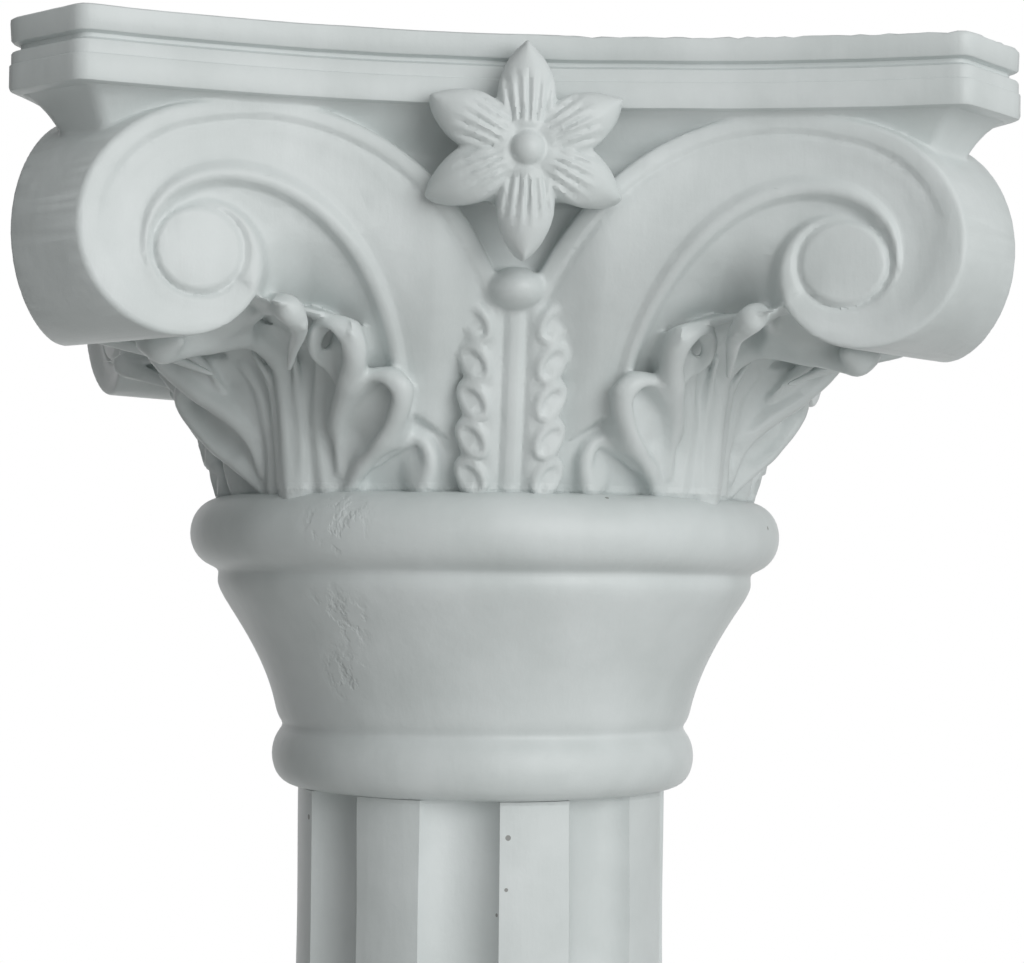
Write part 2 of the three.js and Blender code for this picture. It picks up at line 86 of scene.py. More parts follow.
# Carving of the capital as a field of distances over one quarter, x to the right and f forward.
# The quarter is the same on both sides of its diagonal, and the other three quarters mirror it.

REACH = 174.0
CARVE_LOW = 102.0
CARVE_HIGH = 258.0
FAR = 5.0
AXIS = ((np.arange(int(REACH / VOXEL)) + 0.5) * VOXEL).astype(np.float32)
LEVELS = np.arange(CARVE_LOW, CARVE_HIGH, VOXEL).astype(np.float32)
X = AXIS[:, None, None]
F = AXIS[None, :, None]
Z = LEVELS[None, None, :]


class Field:
    """Distances to a solid, negative inside; what is added or cut is blended over k millimetres."""

    def __init__(self, distances):
        self.d = distances

    def window(self, low, high):
        slices = []
        for axis, a, b in zip((AXIS, AXIS, LEVELS), low, high):
            start, stop = np.searchsorted(axis, (a, b))
            slices.append(slice(start, max(stop, start + 1)))
        return tuple(slices)

    def points(self, window):
        i, j, k = window
        return X[i], F[:, j], Z[:, :, k]

    def add(self, low, high, shape, k=1.5):
        window = self.window(low, high)
        self.d[window] = soft_min(self.d[window], shape(*self.points(window)), k)

    def cut(self, low, high, shape, k=1.5):
        window = self.window(low, high)
        self.d[window] = soft_max(self.d[window], -shape(*self.points(window)), k)

    def rod(self, path, k=1.5, cut=False):
        """A round rod through a row of (x, f, z, radius)."""
        path = curve(np.asarray(path, float))
        pad = path[:, 3].max() + k + 2
        low = path[:, :3].min(0) - pad
        high = path[:, :3].max(0) + pad
        change = self.cut if cut else self.add
        change(low, high, lambda x, f, z: rod_distance(path, x, f, z), k)


def curve(path, per=4):
    """The same row, rounded and with more steps."""
    if len(path) < 3:
        return path
    ends = np.vstack([2 * path[0] - path[1], path, 2 * path[-1] - path[-2]])
    out = []
    for a, b, c, d in zip(ends, ends[1:], ends[2:], ends[3:]):
        for t in np.arange(per) / per:
            out.append(0.5 * (2 * b + (c - a) * t + (2 * a - 5 * b + 4 * c - d) * t ** 2
                              + (3 * b - a - 3 * c + d) * t ** 3))
    return np.array(out + [path[-1]])


def rod_distance(path, x, f, z):
    best = None
    for a, b in zip(path, path[1:]):
        step = b[:3] - a[:3]
        length = max(1e-6, float(step @ step))
        t = np.clip(((x - a[0]) * step[0] + (f - a[1]) * step[1] + (z - a[2]) * step[2]) / length, 0, 1)
        away = np.sqrt((x - a[0] - t * step[0]) ** 2 + (f - a[1] - t * step[1]) ** 2
                       + (z - a[2] - t * step[2]) ** 2) - (a[3] + (b[3] - a[3]) * t)
        best = away if best is None else np.minimum(best, away)
    return best.astype(np.float32)


def ellipsoid(centre, radii):
    def shape(x, f, z):
        q = np.sqrt(((x - centre[0]) / radii[0]) ** 2 + ((f - centre[1]) / radii[1]) ** 2
                    + ((z - centre[2]) / radii[2]) ** 2)
        return (q - 1) * min(radii)
    return shape


# Bell and collar

def bell_radius(z):
    return 93.5 + 37.5 * np.clip((z - NECK) / 125, 0, 1.2) ** 0.85


def squareness(z):
    """How far the round bell has turned into the abacus' square, from 0 to 1."""
    return smooth(z - NECK, 45, 88)


def bell_front(x, z):
    radius = bell_radius(z)
    round_front = np.sqrt(np.maximum(1, radius ** 2 - x ** 2))
    return mix(round_front, radius + hollow_rise(x), squareness(z))


def bell(x, f, z):
    radius = bell_radius(z)
    squared = np.maximum(np.maximum(f - radius - hollow_rise(x), x - radius - hollow_rise(f)),
                         (x + f) / math.sqrt(2) - 1.42 * radius)
    d = mix(np.hypot(x, f) - radius, squared, squareness(z))
    return np.maximum(np.maximum(d, CARVE_LOW + 1 - z), z - ABACUS_BED - 4)


def collar(x, f, z):
    inset = 2.5 + 13 * (1 - np.clip((z - ABACUS_BED + 14) / 14, 0, 1)) ** 0.55
    middle = ABACUS_MIDDLE - inset
    d = np.maximum(f - (middle + hollow_rise(x)), x - (middle + hollow_rise(f)))
    d = soft_max(d, (x + f) / math.sqrt(2) - (CORNER_REACH - inset - 1), 3)
    return np.maximum(np.maximum(d, 206 - z), z - ABACUS_BED - 2)


# Volutes: polar about the eye, the angle in degrees from the side's middle line, rising over the top

def outer_radius(angle):
    lead = np.maximum(0, 90 - angle)
    winding = np.exp(-0.1767 * np.radians(np.maximum(0, angle - 90)))
    return 48.3 * winding + 0.199 * lead + 0.00378 * lead ** 2


def inner_radius(angle):
    return np.maximum(EYE_RADIUS + 1, 13 + 60.4 * np.exp(-(angle + 29.6) / 57))


def face_forward(x):
    return 139 + 27 * (np.maximum(0, x) / ARRIS) ** 2.6


def volute_maps():
    """The face of a side and the signed distance to the scroll's edge, both over x and z."""
    x, z = AXIS[:, None].astype(float), LEVELS[None, :].astype(float)
    radius = np.hypot(EYE_X - x, z - EYE_Z)
    angle = np.degrees(np.arctan2(z - EYE_Z, EYE_X - x))
    angle = np.where(angle < -34, angle + 360, angle)
    outer, inner = outer_radius(angle), inner_radius(angle)
    disc = np.maximum(EYE_RADIUS + 1.2, outer_radius(angle + 360))
    width = np.minimum(0.8 + 7.8 * np.exp(-((angle - 30) / 135) ** 2), 0.45 * (outer - inner))
    crest = inner + width
    rim = outer - np.minimum(7.6, 0.45 * (outer - crest))
    fade = 1 - smooth(angle, 110, 200)
    across = np.clip((radius - crest) / np.maximum(rim - crest, 1), 0, 1)
    deep = np.clip((rim - crest) / 14, 0.15, 1)
    band = -1.0 * deep * (1 - (2 * across - 1) ** 2)
    bead = (radius - inner) / np.maximum(width, 1)
    band += 1.9 * np.clip(width / 5, 0.4, 1) * (1 - smooth(np.abs(bead - 0.42), 0.1, 0.62))
    band -= 0.5 * np.exp(-((bead - 1.05) / 0.2) ** 2)
    band -= 1.0 * fade * np.exp(-((radius - rim) / 1.0) ** 2)
    band += 0.5 * fade * smooth(radius - rim, 0.3, 1.6)
    opening = np.clip((inner - disc) / 16, 0, 1)
    inward = 1 - np.clip((radius - disc) / np.maximum(inner - disc, 1), 0, 1)
    near_leaf = 1 - smooth(np.hypot(x - 75, z - 160), 6, 34)
    recess = -np.clip((inner - disc) / 3, 0.3, 1) * 2.2 - opening * (1.8 * inward ** 2 + 7 * near_leaf)
    relief = mix(recess, band, smooth(radius - inner, -1.2, 1.0))
    plate = 0.7 - 1.0 * smooth(radius - disc, -2.2, 0)
    relief = mix(plate, relief, smooth(radius - disc, -1.1, 1.1))
    relief += 0.3 * (1 - smooth(radius, EYE_RADIUS - 0.6, EYE_RADIUS + 0.4))
    relief -= 1.5 * np.exp(-((radius - EYE_RADIUS - 0.6) / 1.1) ** 2)
    forward = face_forward(x)
    back = bell_front(x, z) + 5
    sunk = (1 - smooth(z, 132, 214)) * (1 - smooth(angle, 16, 52)) * smooth(radius - disc, -0.5, 16)
    sunk = np.where(angle > 200, 0, sunk)
    forward = mix(forward, back, sunk)
    forward -= 9 * (1 - smooth(x, 6, 30)) * (1 - smooth(z, 214, 226))
    return forward + relief, radius - outer, face_forward(AXIS.astype(float))


def volute_field():
    face, edge, plain = volute_maps()
    face, edge = face.astype(np.float32), edge.astype(np.float32)
    along = (AXIS + plain) / math.sqrt(2)
    x2, f2 = np.minimum(X, F)[:, :, 0], np.maximum(X, F)[:, :, 0]
    reached = np.interp((x2 + f2) / math.sqrt(2), along, AXIS)
    ruled = smooth(reached, 62, 96)
    near = mix(x2, reached, ruled) / VOXEL - 0.5
    low = np.clip(np.floor(near), 0, len(AXIS) - 2).astype(int)
    part = np.clip(near - low, 0, 1)[:, :, None].astype(np.float32)
    edges = edge[low] * (1 - part) + edge[low + 1] * part
    d = np.maximum(F - face[:, None, :], X - face[None, :, :])
    d = soft_max(d, edges, 1.5)
    return np.maximum(d, Z - ABACUS_BED - 1)


# Flower on the middle of a side, its petals bent round the wall

FLOWER_Z = 218.5
FLOWER_FRONT = 157.0
FLOWER_MIDDLE = (0, 140, 205), (12, 172, 232)
PETALS = [(90, 36, 1), (29, 36.3, 2.5), (-24, 35.6, 9), (-90, 35.4, 8)]


def petal(turn, length, droop):
    cos, sin = math.cos(math.radians(turn)), math.sin(math.radians(turn))

    def shape(x, f, z):
        along = x * cos + (z - FLOWER_Z) * sin
        across = (z - FLOWER_Z) * cos - x * sin
        t = np.clip(along / length, 0, 1)
        half = 9.1 * np.clip(np.sin(np.pi * t ** 1.02), 0, 1) ** 0.64 + 1.4 * (1 - t) - 0.2
        top = FLOWER_FRONT - 0.6 + 4.2 * np.sin(np.pi * t) - droop * t ** 2.2
        top = top - 4.2 * np.clip(np.abs(across) / np.maximum(half, 2), 0, 1.3) ** 2
        grooves = (1 - smooth(t, 0.5, 0.8)) * smooth(along, 7, 10)
        top = top - 2.0 * grooves * (0.5 + 0.5 * np.cos(2 * np.pi * across / (1.9 + 2.7 * t))) ** 2
        thick = 6.5 + 40 * (1 - smooth(along, 8, 20))
        edge = np.maximum(np.abs(across) - half, np.maximum(along - length, -along - 2))
        return soft_max(np.maximum((f - top) * 0.85, top - thick - f), edge, 1.6)
    return shape


def flower_groove(x, f, z):
    return np.hypot(np.hypot(x, z - FLOWER_Z) - 6.4, f - FLOWER_FRONT - 1.6) - 0.9


# Corner leaf: places as (degrees off the diagonal, height, radius, thickness), bodies with width and height

LEAF_MM_PER_DEGREE = 2.1
LEAF_TIP_REACH = 168.0
LEAF_EDGE = [
    (-6, 104), (13, 104), (15, 114), (20, 122), (26, 133), (28, 144), (25, 150), (20.5, 147.5),
    (16.8, 140.5), (15.8, 141), (19, 148), (21.6, 156), (21.6, 164), (18, 165.6), (13.6, 162.6),
    (11.6, 157.5), (12.6, 157.5), (16, 162), (17.4, 167.5), (14.4, 170.4), (9.5, 169.4), (2, 166), (-6, 166)]
LEAF_FACE = [
    (0, 108, 104.8), (0, 127, 106.8), (0, 145, 109.8), (0, 157, 113.8), (0, 164, 122.8),
    (8, 108, 102.3), (9, 125, 104.3), (7, 145, 107.8), (5, 157, 111.8), (9, 162, 121.8),
    (5, 165, 122.8), (15, 156, 120.8), (14, 148, 114.8), (18.6, 148, 122.8), (15, 140.5, 115.8),
    (10.8, 131.8, 108.3), (18.3, 165, 135.8), (21.3, 160, 132.8), (21, 137, 110.3), (22, 143, 114.3),
    (16, 128, 106.3), (26.6, 136.5, 114.8), (21.8, 127, 109.3), (16.2, 118, 104.8), (12.3, 111, 100.8),
    (24.7, 149.7, 119.8), (14.6, 170, 151.8), (9.9, 169, 144.8), (17.9, 167.4, 157.8)]
LEAF_RODS = [
    [(14.5, 146, 116, 1.2), (13.2, 155, 127, 2.2), (15.2, 161.5, 134, 3.2), (18.2, 163, 137, 3.9),
     (20.6, 160, 135.5, 4.3), (20.2, 152.5, 129, 4.1), (17.2, 144, 120.5, 3.5), (13.6, 136.5, 113, 2.6),
     (10.6, 130, 107.5, 1.2)],
    [(11, 116, 103, 0.8), (11.5, 125, 106, 1.4), (13.2, 133, 110.5, 1.7), (16, 140, 115.5, 2.2),
     (20, 145.2, 119.5, 3), (24.2, 146.8, 121.5, 3.6), (26.4, 142.5, 120, 4), (25, 134.5, 115.5, 3.9),
     (20.6, 125, 109.5, 3.2), (15.6, 116.5, 104, 2.4), (11.6, 109, 100, 1.4)],
    [(18.6, 119, 101, 1.2), (23.4, 125, 102, 1.7), (27.6, 127.4, 102.5, 2.3), (29.6, 121, 101.3, 2.7),
     (28.8, 113, 99.5, 2.4), (27, 106, 97.5, 1.6)],
    [(2, 161, 132, 1.6), (5, 165.5, 141, 2.6), (10, 167.6, 150, 3), (14.4, 168.2, 158, 3.8),
     (17.2, 165.6, 163, 4.6), (16.4, 161, 152, 3), (12.6, 156, 139, 2), (8.6, 150, 128, 1)],
    [(0, 106, 104, 3.8), (0, 128, 107, 3.2), (0, 146, 110, 2.8), (0, 158, 114, 2.6), (0, 164, 122, 2)],
    [(2.6, 108, 104.5, 1.4), (3.2, 128, 106.6, 1.3), (3.4, 146, 110, 1.3), (5, 158, 116, 1)],
    [(7.5, 108, 102, 1.2), (6.6, 128, 105, 1.3), (7.6, 144, 108.5, 1.2), (9.5, 154, 114, 0.8)],
]
LEAF_BODIES = [(17.5, 155, 122, 6, 11), (22.5, 135, 107, 7, 12), (27.2, 115, 94, 7, 10)]
LEAF_HOLLOWS = [
    [(17.2, 158, 137, 5), (15.4, 151, 128.5, 4.8), (13, 144, 120.5, 3)],
    [(22.6, 140.5, 121.5, 5), (20.4, 133, 115.5, 4.8), (17, 125, 110.5, 3)],
    [(27, 120, 108, 3.6), (25.2, 112.5, 106, 3)],
    [(12.6, 163.6, 151, 4), (9, 160.5, 137, 4.6), (6, 156, 126, 3)],
]


def at_corner(off, height, radius):
    azimuth = math.radians(45 - off)
    return radius * math.sin(azimuth), radius * math.cos(azimuth), height


def leaf_row(row):
    return [(*at_corner(off, height, radius), thick) for off, height, radius, thick in row]


def edge_distance(corners, u, v):
    """Signed distance to a closed outline, negative inside."""
    best, inside = None, None
    for (x1, y1), (x2, y2) in zip(corners, corners[1:] + corners[:1]):
        dx, dy = x2 - x1, y2 - y1
        t = np.clip(((u - x1) * dx + (v - y1) * dy) / (dx * dx + dy * dy), 0, 1)
        away = (u - x1 - t * dx) ** 2 + (v - y1 - t * dy) ** 2
        crosses = ((y1 > v) != (y2 > v)) & (u < dx * (v - y1) / (dy if dy else 1e-9) + x1)
        best = away if best is None else np.minimum(best, away)
        inside = crosses if inside is None else inside ^ crosses
    return np.where(inside, -1, 1) * np.sqrt(best)


def leaf_sheet():
    """The leaf's blade: a smooth surface through LEAF_FACE, cut out along LEAF_EDGE."""
    known = np.array(LEAF_FACE + [(-a, b, c) for a, b, c in LEAF_FACE if 0 < a < 12], float)
    places = known[:, :2] * (LEAF_MM_PER_DEGREE, 1)
    gap = np.linalg.norm(places[:, None] - places[None], axis=2)
    count = len(known)
    system = np.zeros((count + 3, count + 3))
    system[:count, :count] = gap + 2.0 * np.eye(count)
    system[:count, count:] = np.column_stack([np.ones(count), places])
    system[count:, :count] = system[:count, count:].T
    weights = np.linalg.solve(system, np.append(known[:, 2], (0, 0, 0)))
    corners = [(a * LEAF_MM_PER_DEGREE, b) for a, b in LEAF_EDGE]

    def shape(x, f, z):
        u = (45 - np.degrees(np.arctan2(x, f))) * LEAF_MM_PER_DEGREE
        surface = weights[count] + weights[count + 1] * u + weights[count + 2] * z
        for (a, b), weight in zip(places, weights):
            surface = surface + weight * np.sqrt((u - a) ** 2 + (z - b) ** 2)
        d = (np.hypot(x, f) - surface) * 0.75
        return soft_max(d, edge_distance(corners, u, z), 3)
    return shape


def carve_leaf(field):
    field.add((0, 40, CARVE_LOW), (126, 160, 174), leaf_sheet(), 2)
    for off, height, radius, wide, tall in LEAF_BODIES:
        middle = at_corner(off, height, radius)
        low, high = np.array(middle) - 16, np.array(middle) + 16
        field.add(low, high, ellipsoid(middle, (wide, wide, tall)), 4)
    for row in LEAF_RODS:
        field.rod(leaf_row(row), 3.5)
    for row in LEAF_HOLLOWS:
        field.rod(leaf_row(row), 2, cut=True)
    field.rod(leaf_row([(0, 158, 114, 4), (0, 163, 128, 5), (0, 159, 150, 5), (0, 154.5, 166, 4.5)]), 5)
    tip = [(-9, 157, 2.4), (-5, 156, 3.6), (0, 155.4, 4.2), (5, 156, 3.6), (9, 157, 2.4)]
    field.rod([((LEAF_TIP_REACH + v) / math.sqrt(2), (LEAF_TIP_REACH - v) / math.sqrt(2), z, r)
               for v, z, r in tip], 4)


# Strap leaf under the flower, with its curled tip

def strap_forward(z):
    t = np.clip((z - NECK) / 62, 0, 1.15)
    return 100 + 20 * t ** 0.8


def strap(x, f, z):
    half = 10.5 - 0.8 * smooth(z, 150, 172)
    ribs = (0.9 * np.exp(-(x / 3) ** 4) + 0.7 * np.exp(-((x - 7.5) / 2.6) ** 4)
            - 0.9 * np.exp(-((x - 3.9) / 1.1) ** 2))
    return soft_max(soft_max((f - strap_forward(z) - ribs) * 0.9, x - half, 2), z - 172, 3)


def carve_strap(field):
    field.add((0, 85, CARVE_LOW), (16, 130, 176), strap, 1.5)
    tilt = math.radians(28)
    for step in range(5):
        z = 114 + 12.9 * step
        forward = float(strap_forward(z))
        loop = []
        for k in range(9):
            turn = 2 * math.pi * k / 8
            a, b = 3.4 * math.cos(turn), 6.2 * math.sin(turn)
            x = 12.8 + a * math.cos(tilt) + b * math.sin(tilt)
            high = z - a * math.sin(tilt) + b * math.cos(tilt)
            bend = forward - 0.055 * (x - 9) ** 2 + 0.22 * (high - z)
            loop.append((x, bend + 0.7, high, 1.9 + 0.5 * math.sin(turn)))
        centre = (12.8, forward - 4.2, z)
        field.add((0, forward - 20, z - 12), (24, forward + 8, z + 12), ellipsoid(centre, (5, 4.6, 7.5)), 1)
        field.rod(loop, 1.0)
    field.add((0, 100, 164), (16, 136, 190), ellipsoid((0, 120.6, 177.2), (9.8, 10.4, 7.2)), 1.2)
    field.rod([(0, 131, 168.2, 4.4), (6, 129.5, 169, 4), (10, 125, 171.5, 2.4)], 0.8, cut=True)


def abacus_gap(x, f, z):
    """The dark line between a volute and the abacus."""
    return np.maximum(np.maximum(np.abs(x - 84) - 26, np.abs(z - 233.4) - 1.3), 136 - f)


def blurred(d):
    for axis in range(3):
        inner, below, above = (tuple(part if a == axis else slice(None) for a in range(3))
                               for part in (slice(1, -1), slice(None, -2), slice(2, None)))
        d[inner] = (d[below] + 4 * d[inner] + d[above]) / 6
    return d


def carved_quarter():
    whole = Field(bell(X, F, Z).astype(np.float32))
    window = whole.window((0, 0, 200), (REACH, REACH, ABACUS_BED + 3))
    whole.d[window] = soft_min(whole.d[window], collar(*whole.points(window)), 1.0)
    whole.d = soft_min(whole.d, volute_field(), 1.2)
    carve_leaf(whole)
    carve_strap(whole)
    for turn, length, droop in PETALS:
        whole.add((0, 100, 176), (48, 172, CARVE_HIGH), petal(turn, length, droop), 0.4)
    whole.cut(*FLOWER_MIDDLE, flower_groove, 0.6)
    button = ellipsoid((0, FLOWER_FRONT + 0.6, FLOWER_Z), (5.4, 4.6, 5.4))
    whole.add(*FLOWER_MIDDLE, button, 0.4)
    whole.cut((50, 130, 228), (118, 172, 240), abacus_gap, 0.3)
    d = blurred(np.minimum(whole.d, whole.d.transpose(1, 0, 2)))
    d[:, :, 0] = d[:, :, -1] = FAR
    return d


def carving():
    """Points and faces of the whole carving, in millimetres about the capital's own bed."""
    quarter = carved_quarter()
    half = np.concatenate([quarter[::-1], quarter], axis=0)
    full = np.ascontiguousarray(np.concatenate([half[:, ::-1], half], axis=1))
    grid = openvdb.FloatGrid(FAR)
    grid.copyFromArray(np.clip(full, -FAR, FAR))
    grid.transform = openvdb.createLinearTransform(VOXEL)
    points, quads = grid.convertToQuads(0.0)
    points = points + np.array([(0.5 - len(AXIS)) * VOXEL, (0.5 - len(AXIS)) * VOXEL, CARVE_LOW])
    return points, quads


# Meshes

def build(name, points, faces, lift, limit=None):
    """An object from points in millimetres and faces all of one size, cut down to a limit of triangles."""
    mesh = bpy.data.meshes.new(name)
    faces = np.asarray(faces, np.int32)
    count, size = faces.shape
    mesh.vertices.add(len(points))
    moved = np.asarray(points, float) + (0, 0, lift)
    mesh.vertices.foreach_set("co", (moved / 1000).astype(np.float32).ravel())
    mesh.loops.add(count * size)
    mesh.loops.foreach_set("vertex_index", faces.ravel())
    mesh.polygons.add(count)
    mesh.polygons.foreach_set("loop_start", np.arange(count, dtype=np.int32) * size)
    mesh.polygons.foreach_set("loop_total", np.full(count, size, np.int32))
    mesh.update(calc_edges=True)
    mesh.validate()
    made = bpy.data.objects.new(name, mesh)
    bpy.context.collection.objects.link(made)
    if limit and count * 2 > limit:
        lower = made.modifiers.new("lower", "DECIMATE")
        lower.ratio = limit / (count * 2)
        dg = bpy.context.evaluated_depsgraph_get()
        made.data = bpy.data.meshes.new_from_object(made.evaluated_get(dg))
        made.modifiers.clear()
        bpy.data.meshes.remove(mesh)
    return made


def shell(rings):
    """Points and triangles through rings of equal count, closed at both ends on a middle point."""
    rings = np.asarray(rings, float)
    steps, around = rings.shape[:2]
    points = list(rings.reshape(-1, 3)) + [rings[0].mean(0), rings[-1].mean(0)]
    triangles = []
    for i in range(steps - 1):
        for k in range(around):
            n = (k + 1) % around
            a, b, c, d = i * around + k, i * around + n, (i + 1) * around + n, (i + 1) * around + k
            triangles += [(a, b, c), (a, c, d)]
    bottom, top = steps * around, steps * around + 1
    last = (steps - 1) * around
    caps = [(bottom, (k + 1) % around, k) for k in range(around)]
    caps += [(top, last + k, last + (k + 1) % around) for k in range(around)]
    return np.array(points), np.array(triangles + caps)


def arc(centre, radii, start, end, steps):
    turns = np.radians(np.linspace(start, end, steps))
    return [(centre[0] + radii[0] * math.cos(t), centre[1] + radii[1] * math.sin(t)) for t in turns]


def turned(profile, around=200):
    turns = np.arange(around) * 2 * math.pi / around
    return shell([[(r * math.cos(t), r * math.sin(t), z) for t in turns] for r, z in profile])


def wander(points, size, amount):
    """A slow, small unevenness, as of a worked surface."""
    p = points / size
    a = np.sin(p[:, 0] * 1.7 + 2.1 * np.sin(p[:, 1] * 1.3 + 0.4)) * np.cos(p[:, 2] * 1.9 + 1.2)
    b = np.sin(p[:, 1] * 2.3 + 1.7 * np.sin(p[:, 2] * 1.1 + 2.0)) * np.cos(p[:, 0] * 2.7 + 0.3)
    c = np.sin(p[:, 2] * 3.1 + 1.4 * np.sin(p[:, 0] * 2.2 + 1.0)) * np.cos(p[:, 1] * 1.5 + 2.6)
    return points + amount * np.column_stack([a, b, c])


def softened(profile):
    """The same profile in 88 points at even steps, its creases turned into folds."""
    points = np.array(profile, float)
    far = np.append(0, np.cumsum(np.hypot(*np.diff(points, axis=0).T)))
    even = np.linspace(0, far[-1], 88)
    points = np.column_stack([np.interp(even, far, points[:, i]) for i in (0, 1)])
    for _ in range(4):
        points[3:-3] = (points[2:-4] + 2 * points[3:-3] + points[4:-2]) / 4
    return points


def neck():
    profile = [(68, 0), (72.2, 0.1)]
    profile += arc((73.5, 12), (7.4, 11.6), -78, 78, 22)
    profile += [(76.6, 23.6), (77.6, 24.2), (78.2, 24.9)]
    for t in np.linspace(0.04, 1, 22):
        profile.append((78.7 + 22.9 * t ** 1.55, 24.1 + 49.7 * t))
    profile += arc((99.2, 77.8), (3.8, 3.9), -70, 70, 10)
    profile += [(101.6, 81.8)]
    profile += arc((101.2, 95.6), (12.1, 13.5), -84, 84, 26)
    profile += [(97, 109.4), (80, 109.6)]
    return turned(softened(profile), 160)


def abacus_side(x, inset):
    return ABACUS_MIDDLE - inset + float(hollow_rise(np.float64(x)))


def abacus():
    """Rings of the abacus' outline, drawn in by an inset at each height, with a worn top edge."""
    profile = [(60, 0.3), (6, 0), (1.6, 0), (0.4, 0.5), (0, 1.6), (0, 8.6), (0.15, 9), (0.5, 9.2),
               (0.5, 12.6), (0.9, 13.4), (2.4, 13.9), (3.2, 14.6), (3.2, 15.8), (2.4, 16.2), (1, 16.4),
               (0.5, 17), (0.2, 22.6), (0.3, 24), (0.9, 24.5), (60, 24.5)]
    rings = []
    for inset, z in profile:
        reach = CORNER_REACH + 1 - inset
        edge = ARRIS
        for _ in range(8):
            edge = math.sqrt(2) * reach - abacus_side(edge, inset)
        side = [(x, -abacus_side(x, inset)) for x in edge * np.linspace(-1, 1, 96)]
        corner = side[-1]
        across = [(mix(corner[0], -corner[1], t), mix(corner[1], -corner[0], t))
                  for t in np.linspace(0, 1, 12)[1:-1]]
        outline = np.array(side + across)
        turns = [outline, np.column_stack([-outline[:, 1], outline[:, 0]]), -outline,
                 np.column_stack([outline[:, 1], -outline[:, 0]])]
        ring = np.vstack(turns)
        ring = (np.roll(ring, 1, 0) + 2 * ring + np.roll(ring, -1, 0)) / 4
        rings.append(np.column_stack([ring, np.full(len(ring), z + ABACUS_BED)]))
    points, faces = shell(rings)
    far_out = np.hypot(points[:, 0], points[:, 1]) > 120
    worn = smooth(points[:, 2], ABACUS_BED + 23, ABACUS_BED + 24) * far_out
    worn *= (points[:, 1] < 0) * smooth(points[:, 0], 8, 24) + 0.1
    points[:, 2] -= worn * 0.6 * np.random.default_rng(5).random(len(points)) ** 2
    return points, faces


SHAFT_RADIUS = 70.5
FLUTES = 8
FLUTE_DEPTH = 7
FLUTE_TURN = 11.3
FILLET_HALF = 13
PLINTH_HALF = 135.0
PLINTH_ROUND = 2.0


def shaft():
    pitch = math.radians(360 / FLUTES)
    fillet = math.asin(FILLET_HALF / SHAFT_RADIUS)
    chord = SHAFT_RADIUS * math.sin(pitch / 2 - fillet)
    flute = (chord ** 2 + FLUTE_DEPTH ** 2) / (2 * FLUTE_DEPTH)
    middle = SHAFT_RADIUS * math.cos(pitch / 2 - fillet) - FLUTE_DEPTH + flute
    spread = math.asin(chord / flute)
    outline = []
    for i in range(FLUTES):
        turn = math.radians(FLUTE_TURN - 90) + pitch * (i + 0.5)
        cos, sin = math.cos(turn), math.sin(turn)
        for t in np.linspace(-1, 1, 21):
            a = spread * t
            x, y = middle - flute * math.cos(a), flute * math.sin(a)
            outline.append((x * cos - y * sin, x * sin + y * cos))
        for t in np.linspace(0, 1, 9)[1:-1]:
            a = turn + pitch / 2 - fillet + 2 * fillet * t
            outline.append((SHAFT_RADIUS * math.cos(a), SHAFT_RADIUS * math.sin(a)))
    outline = np.array(outline)
    rings = []
    for z in np.linspace(0, SHAFT_TOP - SHAFT_BED, 90):
        rings.append(np.column_stack([outline, np.full(len(outline), z)]))
    points, faces = shell(rings)
    return wander(points, 26, 0.22), faces


def base():
    profile = [(100, 36)] + arc((118, 52), (12, 14), -90, 90, 22)
    profile += [(113, 66), (113, 71), (112, 71.4)]
    for t in np.linspace(0.06, 1, 12):
        turn = math.pi / 2 * t
        profile.append((113 - 25 * math.sin(turn), 71 + 16 * (1 - math.cos(turn))))
    profile += arc((86, 95.5), (11, 8.5), -85, 85, 18)
    profile += [(77, 104.2), (76.5, 105), (76.5, 109.4), (76, 110), (60, 110)]
    points, faces = turned(profile)
    rings = []
    for inset, z in ((20, 0), (1.5, 0), (0.4, 0.5), (0, 1.6), (0, 36.2), (0.5, 37.5), (1.8, 38), (20, 38)):
        ring = []
        far = PLINTH_HALF - inset - PLINTH_ROUND
        for cx, cy, start in ((far, -far, -90), (far, far, 0), (-far, far, 90), (-far, -far, 180)):
            corner = arc((cx, cy), (PLINTH_ROUND, PLINTH_ROUND), start, start + 90, 5)
            ring += [(x, y, z) for x, y in corner]
        rings.append(ring)
    more, sides = shell(rings)
    return np.vstack([points, more]), np.vstack([faces, sides + len(points)])


def shaded(made, angle=40):
    made.data.polygons.foreach_set("use_smooth", np.ones(len(made.data.polygons), bool))
    made.data.set_sharp_from_angle(angle=math.radians(angle))


# Painted plaster, with its casting holes and scraped places (x, y, height above the capital's bed, radius)
# and the rough filler of the joints (height above the bed, half width)

HOLES = [(-66.5, -23.5, -10.2, 1.0), (3.8, -70.4, -12.9, 1.0), (3.3, -70.4, -31.3, 0.7),
         (34.3, -100.3, 107.8, 0.8), (101.2, -50.3, 98.9, 0.9)]
SCRAPES = [(-57, -76, 64.8, 16), (-54.7, -65, 44, 13), (-59.5, -96.1, 98.8, 16)]
JOINTS = [(0.2, 1.8), (NECK + 0.6, 2.2)]
PAINT_DARK = (0.585, 0.628, 0.622, 1)
PAINT_LIGHT = (0.655, 0.697, 0.694, 1)
# Near-black colour for the casting holes: painted shade standing in for the shadow inside them
HOLE_SHADE = (0.16, 0.155, 0.14, 1)


